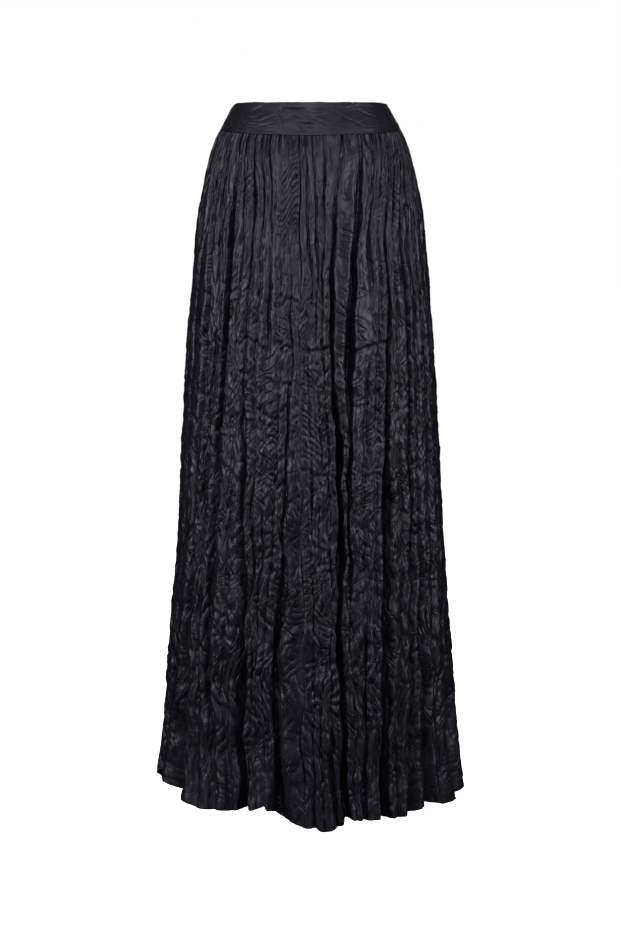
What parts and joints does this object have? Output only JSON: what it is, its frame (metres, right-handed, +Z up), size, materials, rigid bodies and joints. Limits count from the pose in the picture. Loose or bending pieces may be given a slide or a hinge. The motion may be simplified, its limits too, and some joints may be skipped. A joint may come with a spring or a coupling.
{
  "type": "maxi skirt",
  "caption": "Long crushed satin skirt, filled out to its worn form, gathered under a shaped waistband with a concealed zip at the centre back.",
  "frame": {"origin": "middle of the waist opening, half way up the waistband, where the wearer holds the skirt up", "axes": "+Z up the body, -Y out of the skirt's front, +X towards the wearer's left"},
  "size_m": [0.4964, 0.423, 1.0822],
  "materials": {
    "satin": "crushed satin",
    "band_satin": "satin",
    "zip_tape": "woven tape",
    "zip_metal": "enamelled"
  },
  "bodies": {
    "skirt": {"band_front": "band_satin", "band_back_left": "band_satin", "band_back_right": "band_satin", "skirt_front_right": "satin", "skirt_front_left": "satin", "skirt_back_left": "satin", "skirt_back_right": "satin", "zip_tape": "zip_tape", "zip_chain": "zip_tape", "zip_slider": "zip_metal"},
    "zip_pull": {"zip_pull": "zip_metal"}
  },
  "joints": [
    {"name": "zip_pull_hinge", "type": "hinge", "parent": "skirt", "child": "zip_pull", "pos_m": [0, 0.09364, 0.01453], "axis": [1, 0, 0], "range_deg": [0, 160]}
  ]
}
